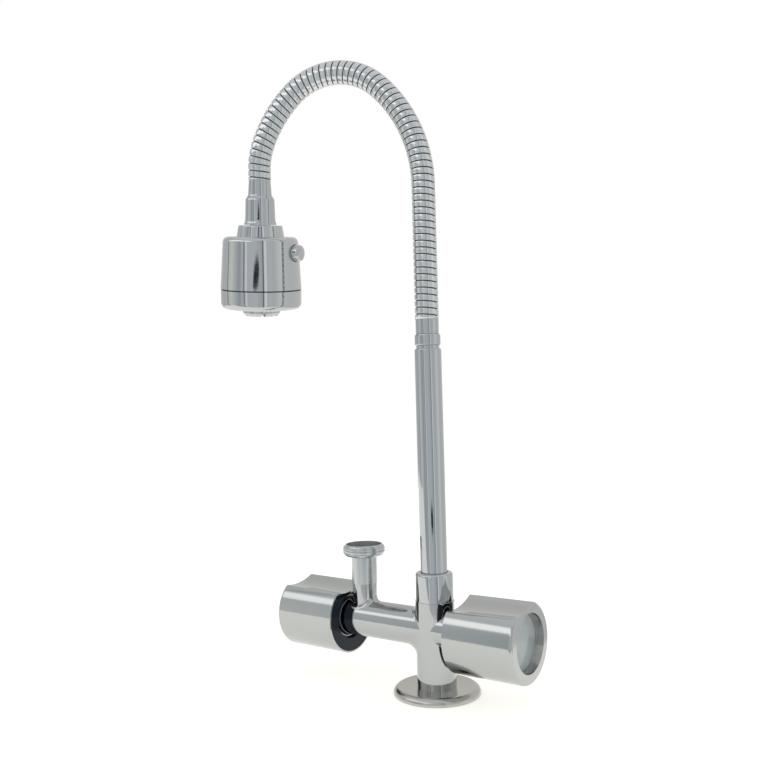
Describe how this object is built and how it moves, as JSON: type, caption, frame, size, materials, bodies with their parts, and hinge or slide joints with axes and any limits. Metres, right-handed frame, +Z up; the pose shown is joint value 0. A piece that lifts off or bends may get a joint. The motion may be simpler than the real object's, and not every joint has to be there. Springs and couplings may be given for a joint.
{
  "type": "kitchen tap",
  "caption": "Deck-mounted kitchen tap with turning side knobs, a threaded side outlet and a bendable ribbed metal neck that carries a switchable spray head.",
  "frame": {"origin": "centre of the base on the worktop surface, on the axis of the pillar", "axes": "+Z up along the pillar and riser, X along the arm from the knob on the long arm (-X) to the knob beside the pillar (+X), the neck reaching toward -X and 21 degrees toward -Y at rest"},
  "size_m": [0.1997, 0.0798, 0.4318],
  "materials": {
    "chrome": "polished",
    "nipple_chrome": "satin",
    "hose_steel": "satin",
    "steel": "satin",
    "brass": "machined",
    "black_plastic": "gloss",
    "grey_plastic": "satin",
    "white_plastic": "matte",
    "ceramic": "lapped",
    "nozzle_rubber": "matte",
    "liner_rubber": "matte",
    "rubber": "matte"
  },
  "bodies": {
    "body": {"base_flange": "chrome", "base_gasket": "rubber", "tap_body": "chrome", "inlet_shank": "brass", "shank_seal": "rubber", "backing_seal": "rubber", "backing_washer": "steel", "lock_nut": "brass", "outlet_nipple": "nipple_chrome", "nipple_seal": "rubber", "riser_collar": "chrome", "riser_bush": "white_plastic", "left_bonnet": "brass", "left_bonnet_seal": "rubber", "left_seat_seal": "rubber", "left_fixed_disc": "ceramic", "right_bonnet": "brass", "right_bonnet_seal": "rubber", "right_seat_seal": "rubber", "right_fixed_disc": "ceramic"},
    "left_handle": {"left_knob": "chrome", "left_knob_insert": "black_plastic", "left_guide_ring": "white_plastic", "left_knob_screw": "steel", "left_index_cap": "grey_plastic", "left_spindle": "brass", "left_spindle_seal": "rubber", "left_turning_disc": "ceramic"},
    "right_handle": {"right_knob": "chrome", "right_knob_insert": "black_plastic", "right_guide_ring": "white_plastic", "right_knob_screw": "steel", "right_index_cap": "grey_plastic", "right_spindle": "brass", "right_spindle_seal": "rubber", "right_turning_disc": "ceramic"},
    "spout": {"riser_tube": "chrome", "riser_seals": "rubber", "neck_lower_ferrule": "chrome", "gooseneck_hose": "hose_steel", "liner_hose": "liner_rubber"},
    "neck_end": {"neck_upper_ferrule": "chrome", "swivel_seal": "rubber"},
    "spray_head": {"head_collar": "chrome", "head_shell": "chrome", "head_core": "white_plastic", "head_seal": "rubber", "head_ring": "chrome", "spray_plate": "grey_plastic", "nozzle_pad": "nozzle_rubber", "aerator_housing": "chrome", "aerator_mesh": "steel"},
    "selector": {"selector_button": "chrome", "selector_seal": "rubber"}
  },
  "joints": [
    {"name": "left_knob_turn", "type": "hinge", "parent": "body", "child": "left_handle", "pos_m": [-0.0842, 0, 0.0379], "axis": [-1, 0, 0], "range_deg": [0, 90]},
    {"name": "right_knob_turn", "type": "hinge", "parent": "body", "child": "right_handle", "pos_m": [0.0401, 0, 0.0379], "axis": [1, 0, 0], "range_deg": [0, 90]},
    {"name": "spout_swivel", "type": "hinge", "parent": "body", "child": "spout", "pos_m": [0, 0, 0.06], "axis": [0, 0, 1], "continuous": true},
    {"name": "neck_flex", "type": "hinge", "parent": "spout", "child": "neck_end", "pos_m": [-0.05041, -0.01935, 0.336], "axis": [-0.3584, 0.9336, 0], "range_deg": [-25, 30], "deforming": ["gooseneck_hose", "liner_hose"]},
    {"name": "head_swivel", "type": "hinge", "parent": "neck_end", "child": "spray_head", "pos_m": [-0.10017, -0.03567, 0.31595], "axis": [-0.1528, 0.1449, -0.9776], "continuous": true},
    {"name": "selector_press", "type": "slide", "parent": "spray_head", "child": "selector", "axis": [-0.9504, -0.2928, 0.1051], "range_m": [0, 0.003], "stiffness_N_per_m": 400, "springref_m": -0.002}
  ]
}
